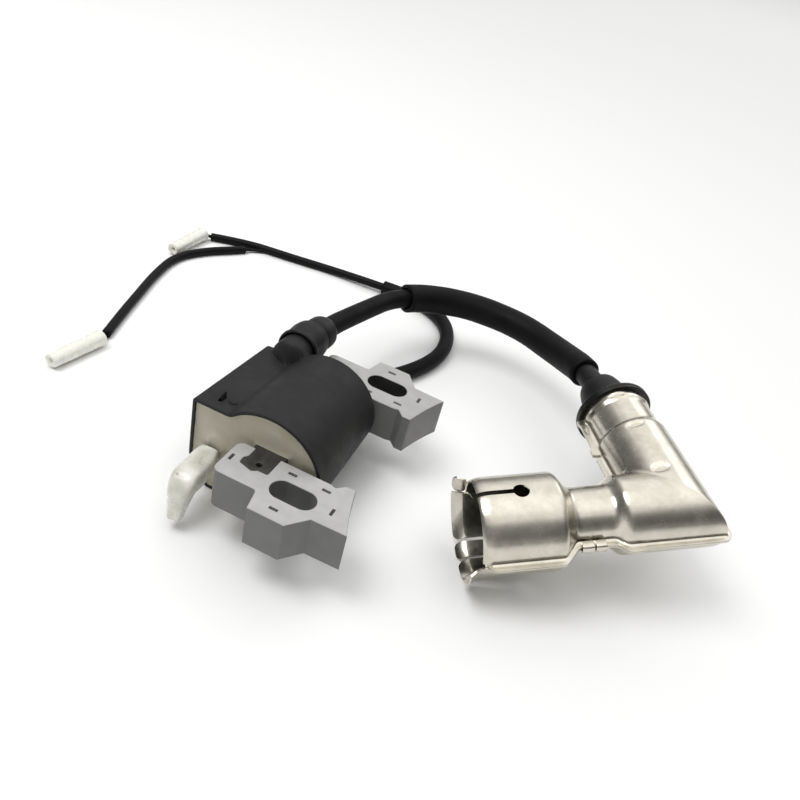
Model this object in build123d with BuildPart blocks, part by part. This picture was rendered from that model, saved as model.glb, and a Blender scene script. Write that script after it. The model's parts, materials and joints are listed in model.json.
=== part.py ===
from build123d import *
from math import cos, pi, radians, sin, sqrt, tan
import os

# Ignition coil of a small engine: a two-legged laminated core around a potted coil case,
# a high-tension lead to a shielded right-angle plug cap, and a branched kill lead.
# Millimetres. +X points from the coil to the flywheel, +Y along the winding, +Z along the
# lamination stack. The origin is on the surface the coil rests on, under the coil's middle.

os.makedirs("parts", exist_ok=True)

# ---------------------------------------------------------------- driving dimensions
# core
stack_bottom = 11.5
stack = 13.0                    # 26 laminations of 0.5
stack_top = stack_bottom + stack
axis_z = 18.0                   # height of the winding axis
leg_left = -12.1                # free end of each leg
leg_inner = 20.9                # legs' inner edge from the middle plane
leg_outer = 34.7
ear_outer = 41.4
ear_left, ear_right = 3.0, 13.8
pole_tip_x, pole_tip_y = 28.8, 35.2
pole_heel_y = 19.0
flywheel_x, flywheel_r = 107.3, 86.0
slot_x, slot_y = 10.4, 30.5
slot_width, slot_length = 7.0, 13.5
limb_x, limb_width = -2.7, 10.2
tenon_hole_y, tenon_hole_r = 26.1, 0.85
dimple_depth = 0.45

# case
case_x = -4.2                   # axis of the round part
case_front, case_back = -20.0, 19.0
case_wall = 1.6
front_r, back_r = 18.0, 16.6    # moulding draft
front_left, back_left = -28.8, -28.0
front_top, back_top = 30.7, 28.8
left_foot_z = 9.7               # the left wall's lower end
base_left = -22.4
base_right = -12.0
resin_recess = 0.8

# tower for the lead
tower_x, tower_z = -18.7, 29.4
tower_r = 5.8
tower_nose, tower_full, tower_end = 12.3, 15.5, 24.0

# windings, radii about the winding axis
bobbin_r, bobbin_flange_r, bobbin_half = 9.2, 12.2, 16.0
primary_r = 11.6
secondary_tube_r, secondary_r, rib_r, secondary_half = 13.2, 14.3, 14.6, 14.5
chambers = 6
rib = 1.0

# cords
lead_r, core_r = 3.5, 1.3
loom_r, loom_bore_r = 5.4, 4.2
kill_r = 1.7
kill_loom_r, kill_loom_bore_r = 2.95, 1.8
wire_r = 0.7
branch_bore_r = 0.8
connector_r, connector_bore_r = 2.9, 2.3
terminal_r = 2.0

# plug cap: barrel axis from the mouth to the elbow, then the arm from the elbow to the lead
mouth = Vector(55.0, -3.4, 15.95)
cap_turn, cap_tilt, cap_roll = 31.0, 12.0, 2.6     # degrees: in plan, upwards, about the barrel
cap_angle = 86.0                # between barrel and arm
barrel_r, neck_r, arm_r = 14.1, 9.0, 11.5
collar_r = 10.6                 # the arm where it meets the sealing ring
shoulder_start, neck_start, neck_end, elbow_start = 23.2, 28.5, 39.3, 44.0
elbow_at = 58.5                 # barrel axis meets arm axis
collar_start, arm_end = 28.0, 41.3
sheet = 0.6
flange = 1.7
lip_out, lip_r = 4.8, 15.2      # the lower half's turned-out lip
slit_width, slit_hole_r, slit_end = 0.9, 2.3, 12.4
ring_r, ring_thickness = 12.5, 2.4
bulb_r, neck_boot_r = 7.6, 3.95
bulb_end, boot_end = 58.0, 65.4
insulator_r = 8.3
plug_bore_r = 6.0
clearance = 0.06


def radii_of(route):
    """Each corner's arc is as large as its two runs allow."""
    runs = [b - a for a, b in zip(route, route[1:])]
    return [0.45 * min(a.length, b.length) / tan(radians(a.get_angle(b)) / 2)
            for a, b in zip(runs, runs[1:])]


def cord_path(route, name):
    """Straight runs joined by tangent arcs."""
    radii = radii_of(route)
    with BuildLine() as path:
        FilletPolyline(*route, radius=radii)
    line = path.wire()
    print(name, "length", round(line.length, 1), "radii", [round(r, 1) for r in radii])
    return line


def stretch(line, start, end):
    """The part of a path between two distances along it."""
    pieces = []
    before = 0.0
    for edge in line.order_edges():
        low = max(0.0, (start - before) / edge.length)
        high = min(1.0, (end - before) / edge.length)
        if high - low > 0.001:
            pieces.append(edge.trim(low, high))
        before += edge.length
    return Wire(pieces)


def tube(line, outer, bore=0.0):
    with BuildPart() as body:
        with BuildSketch(Plane(origin=line @ 0, z_dir=line % 0)):
            Circle(outer)
            if bore:
                Circle(bore, mode=Mode.SUBTRACT)
        sweep(path=line)
    ratio = body.part.volume / (pi * (outer ** 2 - bore ** 2) * line.length)
    print("  tube volume over section times length", round(ratio, 4))
    return body.part


def save(body, name):
    part = body.part if isinstance(body, BuildPart) else body
    part.label = name
    export_step(part, f"parts/{name}.step")


# ---------------------------------------------------------------- core
with BuildPart() as centre_limb:
    with BuildSketch(Plane.XY.offset(stack_bottom)) as limb_outline:
        with Locations((limb_x, 0)):
            Rectangle(limb_width, 2 * leg_inner)
        for side in (1, -1):
            with BuildLine():
                Polyline((limb_x - 4.2, side * (leg_inner - 1)), (limb_x - 4.2, side * 24.6),
                         (limb_x - 5.1, side * 26.0), (limb_x - 4.9, side * 28.2),
                         (limb_x - 0.6, side * 29.4), (limb_x + 0.9, side * 28.3),
                         (limb_x + 3.9, side * 28.2), (limb_x + 3.9, side * (leg_inner - 1)),
                         close=True)
            make_face()
        tenon_corners = limb_outline.vertices().filter_by(lambda v: abs(v.Y) > 25.5)
        fillet(tenon_corners, radius=0.6)
    extrude(amount=stack)
    with Locations((limb_x, tenon_hole_y, stack_top), (limb_x, -tenon_hole_y, stack_top)):
        Hole(radius=tenon_hole_r, depth=stack)

leg_outline = [(leg_left, leg_inner), (leg_left, leg_outer), (1.6, leg_outer), (ear_left, ear_outer),
               (ear_right, ear_outer), (18.4, 35.5), (pole_tip_x, pole_tip_y)]
heel_outline = [(20.7, pole_heel_y), (18.4, 21.4), (16.8, leg_inner)]
heel_x = flywheel_x - sqrt(flywheel_r ** 2 - pole_heel_y ** 2)
pole_middle_y = (pole_tip_y + pole_heel_y) / 2
pole_middle_x = flywheel_x - sqrt(flywheel_r ** 2 - pole_middle_y ** 2)
stakes_along = [(8.8, 37.9), (16.9, 24.0), (6.5, 23.9)]         # marks that run along X
stakes_across = [(21.8, 30.0), (-10.4, 27.7)]                   # marks that run along Y

legs = {}
for name, side in (("rear_leg", 1), ("front_leg", -1)):
    with BuildPart() as leg:
        with BuildSketch(Plane.XY.offset(stack_bottom)) as outline:
            with BuildLine():
                Polyline(*[(x, side * y) for x, y in leg_outline])
                ThreePointArc((pole_tip_x, side * pole_tip_y), (pole_middle_x, side * pole_middle_y),
                              (heel_x, side * pole_heel_y))
                Polyline((heel_x, side * pole_heel_y), *[(x, side * y) for x, y in heel_outline],
                         (leg_left, side * leg_inner))
            make_face()
            ends = outline.vertices().filter_by(lambda v: v.X < leg_left + 0.1)
            fillet(ends, radius=2.2)
            inner_corner = outline.vertices().filter_by(lambda v: abs(v.X - 1.6) < 0.1)
            fillet(inner_corner, radius=1.0)
            with Locations((slot_x, side * slot_y)):
                SlotOverall(slot_length, slot_width, mode=Mode.SUBTRACT)
        extrude(amount=stack)
        rims = leg.edges().filter_by(Plane.XY).group_by(Axis.Z)
        chamfer(rims[-1], length=0.2)
        with BuildSketch(Plane.XY.offset(stack_top)):
            with Locations(*[(x, side * y) for x, y in stakes_along]):
                Rectangle(2.6, 0.9)
            with Locations(*[(x, side * y) for x, y in stakes_across]):
                Rectangle(0.9, 2.6)
        extrude(amount=-dimple_depth, mode=Mode.SUBTRACT)
        add(centre_limb.part, mode=Mode.SUBTRACT)
        with Locations((limb_x, side * tenon_hole_y, stack_bottom)):
            Cylinder(2 * tenon_hole_r, 4 * stack, mode=Mode.SUBTRACT)
    legs[name] = leg.part


# ---------------------------------------------------------------- case and resin
def case_profile(y, radius, left, top, inset=0.0):
    """The case's outline on the plane at y: a round part with a square part on its left."""
    r = radius - inset
    dip_z = top - inset
    dip_x = case_x - sqrt(r ** 2 - (dip_z - axis_z) ** 2)
    foot_angle = radians(-105)
    foot = (case_x + r * cos(foot_angle), axis_z + r * sin(foot_angle))
    wall = left + inset
    with BuildSketch(Plane.XZ.offset(-y)) as profile:
        with BuildLine():
            Polyline((dip_x, dip_z), (wall, dip_z), (wall, left_foot_z + inset / 2),
                     (base_left + inset / 2, inset), (base_right, inset), foot)
            ThreePointArc(foot, (case_x + r, axis_z), (dip_x, dip_z))
        make_face()
        fillet(profile.vertices().filter_by(lambda v: v.X < base_left - 2), radius=1.6)
    return profile.sketch


with BuildPart() as case_outer:
    add(case_profile(case_front, front_r, front_left, front_top))
    add(case_profile(case_back, back_r, back_left, back_top))
    loft()

with BuildPart() as case_hollow:
    add(case_profile(case_front - 0.01, front_r, front_left, front_top, case_wall))
    add(case_profile(case_back - case_wall - 0.2, back_r, back_left, back_top, case_wall))
    loft()

with BuildPart() as tower:
    with BuildSketch(Plane.XY.offset(tower_z)):
        with BuildLine():
            Polyline((tower_x, tower_nose), (tower_x + tower_r, tower_full), (tower_x + tower_r, tower_end),
                     (tower_x, tower_end), close=True)
        make_face()
    revolve(axis=Axis((tower_x, 0, tower_z), (0, 1, 0)))

lead_start = 15.0
contact_r, contact_foot = 0.9, 24.5
contact_y, contact_length = 13.3, 6.7
with BuildPart() as high_tension_contact:
    with BuildSketch(Plane.XZ.offset(-contact_y)):
        with Locations((tower_x, tower_z)):
            Circle(contact_r)
    extrude(amount=-contact_length)
    with BuildSketch(Plane.XY.offset(contact_foot)):
        with Locations((tower_x, contact_y + contact_r)):
            Circle(contact_r - 0.15)
    extrude(amount=tower_z - contact_foot)

grommet_x, grommet_z = -7.0, 5.9
grommet_r = 4.1
with BuildPart() as coil_case:
    add(case_outer.part)
    add(case_hollow.part, mode=Mode.SUBTRACT)
    add(tower.part)
    with BuildSketch(Plane.XZ.offset(-secondary_half)):
        with Locations((case_x, axis_z)):
            Circle(rib_r)
    extrude(amount=2 * secondary_half, mode=Mode.SUBTRACT)
    with BuildSketch(Plane.XZ.offset(-case_back - 1)):
        with Locations((limb_x, axis_z)):
            Rectangle(limb_width, stack)
        with Locations((grommet_x, grommet_z)):
            Circle(kill_loom_r)
    extrude(amount=6, mode=Mode.SUBTRACT)
    with BuildSketch(Plane.XZ.offset(-tower_end)):
        with Locations((tower_x, tower_z)):
            Circle(lead_r)
    extrude(amount=tower_end - lead_start, mode=Mode.SUBTRACT)
    add(high_tension_contact.part, mode=Mode.SUBTRACT)
    # a vent slot and a moulded pip on the flat top, by the front edge
    with BuildSketch(Plane.XY.offset(front_top)):
        with Locations((-22.6, -15.0)):
            SlotOverall(3.2, 1.2, rotation=90)
    extrude(amount=-1.1, mode=Mode.SUBTRACT)
    with BuildSketch(Plane.XY.offset(front_top - 1.0)):
        with Locations((-19.0, -14.4)):
            Ellipse(1.5, 1.0)
    extrude(amount=1.5, taper=25)

# ---------------------------------------------------------------- windings
with BuildPart() as primary_bobbin:
    with BuildSketch(Plane.XZ.offset(-bobbin_half)):
        with Locations((limb_x, axis_z)):
            Circle(bobbin_r)
    extrude(amount=2 * bobbin_half)
    for y in (bobbin_half, -bobbin_half + 1.2):
        with BuildSketch(Plane.XZ.offset(-y)):
            with Locations((limb_x, axis_z)):
                Circle(bobbin_flange_r)
        extrude(amount=1.2)
    add(centre_limb.part, mode=Mode.SUBTRACT)

with BuildPart() as primary_winding:
    half = bobbin_half - 1.2
    with BuildSketch(Plane.XZ.offset(-half)):
        with Locations((limb_x, axis_z)):
            Circle(primary_r)
            Circle(bobbin_r, mode=Mode.SUBTRACT)
    extrude(amount=2 * half)

with BuildPart() as secondary_bobbin:
    pitch = (2 * secondary_half - rib) / chambers
    with BuildSketch(Plane.XZ.offset(-secondary_half)):
        with Locations((case_x, axis_z)):
            Circle(secondary_tube_r)
    extrude(amount=2 * secondary_half)
    for i in range(chambers + 1):
        with BuildSketch(Plane.XZ.offset(-secondary_half + i * pitch)):
            with Locations((case_x, axis_z)):
                Circle(rib_r)
        extrude(amount=rib)
    with BuildSketch(Plane.XZ.offset(-secondary_half - 1)):
        with Locations((limb_x, axis_z)):
            Circle(primary_r)
    extrude(amount=2 * secondary_half + 2, mode=Mode.SUBTRACT)

with BuildPart() as secondary_winding:
    for i in range(chambers):
        with BuildSketch(Plane.XZ.offset(-secondary_half + i * pitch + rib)):
            with Locations((case_x, axis_z)):
                Circle(secondary_r)
                Circle(secondary_tube_r, mode=Mode.SUBTRACT)
        extrude(amount=pitch - rib)

# ---------------------------------------------------------------- trigger circuit
board_x = -25.6
with BuildPart() as trigger_board:
    with Locations((board_x, 0, 18)):
        Box(1.2, 24, 14)
with BuildPart() as power_transistor:
    with Locations((board_x + 0.6, -6, 19)):
        Box(3.6, 8, 9, align=(Align.MIN, Align.CENTER, Align.CENTER))
with BuildPart() as trigger_resistors:
    for z in (15.0, 20.0):
        with BuildSketch(Plane.XZ.offset(-1.0)):
            with Locations((board_x + 0.6 + 1.1, z)):
                Circle(1.1)
        extrude(amount=-6)
with BuildPart() as trigger_capacitor:
    with BuildSketch(Plane.YZ.offset(board_x + 0.6)):
        with Locations((9.6, 18)):
            Circle(2.2)
    extrude(amount=2.0)

# ---------------------------------------------------------------- plug cap
# The cap's own plane: x along the barrel from the mouth to the elbow, z out of the upper half.
barrel_dir = Vector(1, 0, 0).rotate(Axis.Y, -cap_tilt).rotate(Axis.Z, cap_turn)
level = Vector(0, 0, 1) - barrel_dir * barrel_dir.Z
cap_up = level.normalized().rotate(Axis((0, 0, 0), barrel_dir), cap_roll)
cap_plane = Plane(origin=mouth, x_dir=barrel_dir, z_dir=cap_up)
arm_x, arm_y = -cos(radians(cap_angle)), sin(radians(cap_angle))
arm_dir = (cap_plane.x_dir * arm_x + cap_plane.y_dir * arm_y).normalized()
elbow = mouth + barrel_dir * elbow_at
arm_plane = Plane(origin=elbow, x_dir=cap_up, z_dir=arm_dir)


def on_arm(distance):
    """A point on the arm's axis, measured from the elbow towards the lead."""
    return elbow + arm_dir * distance


barrel_axis = Axis(mouth, barrel_dir)
arm_axis = Axis(elbow, arm_dir)
arm_profile = Plane(origin=elbow, x_dir=arm_dir, z_dir=cap_up)
mitre = Plane(origin=elbow, z_dir=barrel_dir + arm_dir)


def cap_form(inset, mouth_at, arm_stop):
    """The cap's L-shaped form, grown or shrunk by an inset: two turned shapes with a mitre."""
    past = elbow_at + 30
    with BuildPart() as barrel:
        with BuildSketch(cap_plane):
            with BuildLine():
                Polyline((mouth_at, 0), (mouth_at, barrel_r - inset), (shoulder_start, barrel_r - inset),
                         (neck_start, neck_r - inset), (neck_end, neck_r - inset),
                         (elbow_start, arm_r - inset), (past, arm_r - inset), (past, 0), close=True)
            make_face()
        revolve(axis=barrel_axis)
        split(bisect_by=mitre, keep=Keep.BOTTOM)
    with BuildPart() as form:
        with BuildSketch(arm_profile):
            with BuildLine():
                Polyline((-30, 0), (-30, arm_r - inset), (collar_start - 2, arm_r - inset),
                         (collar_start + 2, collar_r - inset), (arm_stop, collar_r - inset),
                         (arm_stop, 0), close=True)
            make_face()
        revolve(axis=arm_axis)
        split(bisect_by=mitre, keep=Keep.TOP)
        add(barrel.part)
    return form.part


def round_bar(plane, start, stop, outer, bore=0.0):
    """A round bar or tube along a plane's normal, between two distances from its origin."""
    with BuildPart() as bar:
        with BuildSketch(plane.offset(start)):
            Circle(outer)
            if bore:
                Circle(bore, mode=Mode.SUBTRACT)
        extrude(amount=stop - start)
    return bar.part


barrel_plane = Plane(origin=mouth, x_dir=cap_up, z_dir=barrel_dir)
shell_outer = cap_form(0, 0, arm_end)
shell_inner = cap_form(sheet, -8, arm_end + 1)
flange_form = cap_form(-flange, 0, arm_end)


def seam_flange(side):
    """The flat rim along the seam, on one side of the seam plane."""
    with BuildPart() as rim:
        add(flange_form)
        with BuildSketch(cap_plane):
            Rectangle(300, 300)
        extrude(amount=side * sheet, mode=Mode.INTERSECT)
    return rim.part


def slits(angles, start):
    """Cutters for the keyhole slits, at angles from the seam plane's normal."""
    with BuildPart() as cutters:
        for angle in angles:
            out = cap_up.rotate(Axis((0, 0, 0), barrel_dir), angle)
            side_plane = Plane(origin=mouth, x_dir=barrel_dir, z_dir=out)
            with BuildSketch(side_plane.offset(neck_r - 2)):
                with Locations(((start + slit_end) / 2, 0)):
                    Rectangle(slit_end - start, slit_width)
                with Locations((slit_end, 0)):
                    Circle(slit_hole_r)
            extrude(amount=14)
    return cutters.part


with BuildPart() as shield_upper:
    add(shell_outer)
    split(bisect_by=cap_plane, keep=Keep.TOP)
    add(seam_flange(1))
    add(shell_inner, mode=Mode.SUBTRACT)
    add(slits([0], -1), mode=Mode.SUBTRACT)

tab_spans = [(31.0, 34.2), (35.8, 38.9)]
with BuildPart() as shield_lower:
    add(shell_outer)
    with BuildSketch(cap_plane):                      # the lip, turned out past the upper half
        with BuildLine():
            Polyline((0.5, 0), (0.5, barrel_r), (-lip_out + 1.6, barrel_r), (-lip_out, lip_r),
                     (-lip_out, 0), close=True)
        make_face()
    revolve(axis=barrel_axis)
    split(bisect_by=cap_plane, keep=Keep.BOTTOM)
    add(seam_flange(-1))
    add(shell_inner, mode=Mode.SUBTRACT)
    with BuildSketch(cap_plane):
        with BuildLine():
            Polyline((-lip_out + 1.6, 0), (-lip_out + 1.6, barrel_r - sheet),
                     (-lip_out - 1, lip_r - sheet + 0.65), (-lip_out - 1, 0), close=True)
        make_face()
    revolve(axis=barrel_axis, mode=Mode.SUBTRACT)
    add(slits([180, 125, -125], -lip_out - 1), mode=Mode.SUBTRACT)
    for start, stop in tab_spans:                     # tabs folded over the upper half's flange
        with BuildSketch(cap_plane.offset(-sheet)):
            with Locations(((start + stop) / 2, -neck_r - flange - sheet / 2)):
                Rectangle(stop - start, sheet + 0.3)
        extrude(amount=3 * sheet)
        with BuildSketch(cap_plane.offset(sheet)):
            with Locations(((start + stop) / 2, -neck_r - flange + 0.5)):
                Rectangle(stop - start, 1.0)
        extrude(amount=sheet)
    add(shield_upper.part, mode=Mode.SUBTRACT)

lead_end, screw_head_end, resistor_end, spring_end = 40.0, 31.6, 30.0, 10.0
terminal_r_out, terminal_start, terminal_stop = 4.6, 45.0, 62.5
terminal_bore_r, terminal_bore_end = 3.2, 54.0
groove_at, groove_width, groove_r = 49.0, 0.8, 3.9
spike_r, shank_r, head_r, resistor_r = 0.85, 1.4, 2.8, 3.1
spring_start = terminal_r_out + 0.1
with BuildPart() as cap_insulator:
    add(cap_form(sheet + clearance, neck_start, arm_end))
    add(round_bar(barrel_plane, neck_start - 0.1, terminal_start, plug_bore_r), mode=Mode.SUBTRACT)
    add(round_bar(barrel_plane, terminal_start, terminal_stop, terminal_r_out), mode=Mode.SUBTRACT)
    add(round_bar(arm_plane, 0, screw_head_end, resistor_r), mode=Mode.SUBTRACT)
    add(round_bar(arm_plane, screw_head_end, lead_end, shank_r), mode=Mode.SUBTRACT)
    add(round_bar(arm_plane, lead_end, arm_end + 1, lead_r + clearance), mode=Mode.SUBTRACT)

plug_seal = round_bar(barrel_plane, neck_start - 7, neck_start, insulator_r, plug_bore_r - 0.4)
with BuildPart() as plug_terminal:
    add(round_bar(barrel_plane, terminal_start, terminal_stop, terminal_r_out))
    add(round_bar(barrel_plane, terminal_start - 1, terminal_bore_end, terminal_bore_r),
        mode=Mode.SUBTRACT)
    add(round_bar(barrel_plane, groove_at - groove_width / 2, groove_at + groove_width / 2,
                  terminal_r_out + 1, groove_r), mode=Mode.SUBTRACT)
with BuildPart() as terminal_clip:
    with Locations(barrel_plane.offset(groove_at)):
        Torus((groove_r + terminal_r_out) / 2, (terminal_r_out - groove_r) / 2 - 0.02)
suppressor_resistor = round_bar(arm_plane, spring_end, resistor_end, resistor_r - 0.1)
with BuildPart() as lead_screw:
    add(round_bar(arm_plane, resistor_end, screw_head_end, head_r))
    add(round_bar(arm_plane, screw_head_end, lead_end, shank_r))
    add(round_bar(arm_plane, lead_end, lead_end + 5, spike_r))
with BuildPart() as contact_spring:
    spring_length = spring_end - spring_start - 1.0
    with BuildLine():
        coil = Helix(pitch=spring_length / 4, height=spring_length, radius=2.2,
                     center=on_arm(spring_start + 0.5), direction=arm_dir)
    with BuildSketch(Plane(origin=coil @ 0, z_dir=coil % 0)):
        Circle(0.35)
    sweep(path=coil, is_frenet=True)

cap_ring = round_bar(arm_plane, arm_end, arm_end + ring_thickness, ring_r, lead_r + clearance)

# ---------------------------------------------------------------- high-tension lead
ht_route = [Vector(tower_x, lead_start + 1, tower_z), Vector(tower_x, 36.0, tower_z),
            Vector(-15.0, 62.3, 26.5), Vector(-10.5, 87.8, 23.7), Vector(9.8, 105.5, 21.8),
            Vector(34.6, 107.4, 21.6), Vector(55.6, 94.2, 23.4), on_arm(63.6), on_arm(lead_end)]
ht_path = cord_path(ht_route, "high-tension lead")
with BuildPart() as ht_lead:
    add(tube(ht_path, lead_r, core_r))
ht_core = tube(ht_path, core_r)
with BuildPart() as ht_lead_core:
    add(ht_core)
    add(high_tension_contact.part, mode=Mode.SUBTRACT)
    add(round_bar(arm_plane, lead_end - 1, lead_end + 5.2, spike_r + clearance), mode=Mode.SUBTRACT)
loom_start, loom_end = 77.5, ht_path.length - (boot_end + 0.8 - lead_end)
lead_loom_sleeve = tube(stretch(ht_path, loom_start, loom_end), loom_r, loom_bore_r)

with BuildPart() as cap_boot:
    with BuildSketch(arm_profile):
        with BuildLine():
            base = arm_end + ring_thickness
            Polyline((base, 0), (base, bulb_r), (base + 7.5, bulb_r), (bulb_end - 2.5, 6.3),
                     (bulb_end - 1.0, neck_boot_r), (bulb_end - 1.0, 0), close=True)
        make_face()
    revolve(axis=arm_axis)
    from_end = ht_path.length + lead_end
    add(tube(stretch(ht_path, from_end - boot_end, from_end - bulb_end + 2), neck_boot_r))
    add(tube(stretch(ht_path, from_end - boot_end - 1, ht_path.length), lead_r), mode=Mode.SUBTRACT)

boot_lip, boot_body, boot_step = 21.2, 32.2, 39.8
with BuildPart() as tower_boot:
    with BuildSketch(Plane.XY.offset(tower_z)):
        with BuildLine():
            Polyline((tower_x, boot_lip), (tower_x + 6.9, boot_lip), (tower_x + 6.9, boot_lip + 1.5),
                     (tower_x + 6.5, boot_body - 2), (tower_x + 5.4, boot_body), (tower_x, boot_body),
                     close=True)
        make_face()
    revolve(axis=Axis((tower_x, 0, tower_z), (0, 1, 0)))
    add(tube(stretch(ht_path, boot_body - lead_start - 3, boot_step - lead_start - 1), 5.3))
    add(tower.part, mode=Mode.SUBTRACT)
    add(tube(stretch(ht_path, 5, boot_step - lead_start + 1), lead_r), mode=Mode.SUBTRACT)

# ---------------------------------------------------------------- kill lead and its branch
kill_route = [Vector(*p) for p in (
    (grommet_x, 16.3, grommet_z), (grommet_x, 38.0, grommet_z), (-3.0, 58.0, 3.6), (7.5, 77.5, 3.0),
    (11.5, 97.0, 3.0), (5.0, 117.0, 3.0), (-12.0, 127.5, 3.0), (-32.0, 125.8, 3.0),
    (-54.0, 124.8, 1.8), (-76.0, 120.5, 1.8), (-95.0, 117.6, 1.8), (-109.5, 110.6, 1.8))]
branch_route = [Vector(*p) for p in (
    (-82.5, 119.6, 1.4), (-89.5, 116.6, 1.1), (-95.0, 108.5, 1.7), (-103.5, 98.0, 1.7),
    (-109.5, 84.5, 1.7), (-106.5, 67.0, 1.7), (-101.5, 50.0, 1.7), (-97.0, 34.5, 1.7),
    (-92.6, 21.0, 1.7))]
kill_path = cord_path(kill_route, "kill lead")
branch_path = cord_path(branch_route, "kill branch")
kill_lead = tube(kill_path, kill_r)
kill_lead_loom = tube(stretch(kill_path, 2.7, 143.5), kill_loom_r, kill_loom_bore_r)
kill_branch_wire = tube(branch_path, wire_r)
kill_branch_sheath = tube(stretch(branch_path, 13.0, branch_path.length), kill_r, branch_bore_r)
kill_wire_grommet = round_bar(Plane(origin=(grommet_x, case_back, grommet_z), z_dir=(0, 1, 0)),
                              0, 3.0, grommet_r, kill_loom_r)

# the wire tails that turn into the bullet terminals, and the terminals' places
connectors = {
    "a": (kill_route[-1], Vector(-111.6, 109.6, 2.1), Vector(-112.3, 106.6, 2.9), Vector(-112.4, 103.0, 2.9)),
    "b": (branch_route[-1], Vector(-91.6, 18.0, 2.3), Vector(-91.7, 15.0, 2.9), Vector(-92.1, 12.0, 2.9)),
}
connector_length, terminal_length = 21.5, 15.0
connector_back = 5.5            # how far the milky sleeve reaches behind the terminal
tails, terminals, sleeves = {}, {}, {}
for key, points in connectors.items():
    tails[key] = tube(cord_path(points, "tail " + key), wire_r)
    heading = (points[-1] - points[-2]).normalized()
    seat = Plane(origin=points[-1], z_dir=heading)
    with BuildPart() as bullet:
        with BuildSketch(seat):
            Circle(terminal_r)
        extrude(amount=terminal_length - 4.0)
        fillet(bullet.edges().sort_by(Axis(seat.origin, heading))[-1], radius=terminal_r * 0.7)
        groove = seat.offset(4.0)
        with BuildSketch(groove):
            Circle(terminal_r)
            Circle(terminal_r - 0.5, mode=Mode.SUBTRACT)
        extrude(amount=1.2, mode=Mode.SUBTRACT)
    terminals[key] = bullet.part
    sleeves[key] = round_bar(seat, -connector_back, connector_length - connector_back,
                             connector_r, connector_bore_r)

# ---------------------------------------------------------------- ground terminal
blade_route = [Vector(-22.0, case_front + resin_recess + 2.5, 15.0), Vector(-21.2, -33.2, 12.4),
               Vector(-19.9, -38.2, 2.9)]
blade_path = cord_path(blade_route, "ground terminal")
with BuildPart() as ground_terminal:
    start = blade_path @ 0
    with BuildSketch(Plane(origin=start, x_dir=(1, 0, 0), z_dir=blade_path % 0)):
        Rectangle(3.2, 0.8)
    sweep(path=stretch(blade_path, 0, blade_path.length - 2.0))
ground_terminal_sleeve = tube(stretch(blade_path, 3.0, blade_path.length), 3.5, 2.9)

with BuildPart() as potting_resin:
    add(case_hollow.part)
    with BuildSketch(Plane.XZ.offset(-case_front - resin_recess)):
        Rectangle(200, 200)
    extrude(amount=5, mode=Mode.SUBTRACT)
    inside = (centre_limb, primary_bobbin, primary_winding, secondary_bobbin, secondary_winding,
              trigger_board, power_transistor, trigger_resistors, trigger_capacitor,
              high_tension_contact, ground_terminal)
    for piece in inside:
        add(piece.part, mode=Mode.SUBTRACT)
    add(kill_lead, mode=Mode.SUBTRACT)
    add(tower.part, mode=Mode.SUBTRACT)

# ---------------------------------------------------------------- files
nodes = {
    "front_leg": legs["front_leg"], "rear_leg": legs["rear_leg"], "centre_limb": centre_limb,
    "coil_case": coil_case, "potting_resin": potting_resin, "primary_bobbin": primary_bobbin,
    "primary_winding": primary_winding, "secondary_bobbin": secondary_bobbin,
    "secondary_winding": secondary_winding, "trigger_board": trigger_board,
    "power_transistor": power_transistor, "trigger_resistors": trigger_resistors,
    "trigger_capacitor": trigger_capacitor, "high_tension_contact": high_tension_contact,
    "tower_boot": tower_boot, "ht_lead": ht_lead, "ht_lead_core": ht_lead_core,
    "lead_loom_sleeve": lead_loom_sleeve, "cap_boot": cap_boot, "cap_ring": cap_ring,
    "shield_upper": shield_upper, "shield_lower": shield_lower, "cap_insulator": cap_insulator,
    "plug_seal": plug_seal, "plug_terminal": plug_terminal, "terminal_clip": terminal_clip,
    "contact_spring": contact_spring, "suppressor_resistor": suppressor_resistor,
    "lead_screw": lead_screw, "kill_wire_grommet": kill_wire_grommet, "kill_lead": kill_lead,
    "kill_lead_loom": kill_lead_loom, "kill_branch_wire": kill_branch_wire,
    "kill_branch_sheath": kill_branch_sheath, "wire_tail_a": tails["a"], "wire_tail_b": tails["b"],
    "bullet_terminal_a": terminals["a"], "bullet_terminal_b": terminals["b"],
    "connector_sleeve_a": sleeves["a"], "connector_sleeve_b": sleeves["b"],
    "ground_terminal": ground_terminal, "ground_terminal_sleeve": ground_terminal_sleeve,
}
for name, body in nodes.items():
    save(body, name)
print(len(nodes), "nodes")
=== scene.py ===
import json
from math import acos, asin, cos, degrees, exp, pi, radians, sin, sqrt, tan

import bmesh
import bpy
import numpy as np
from mathutils import Matrix, Vector, noise


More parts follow.
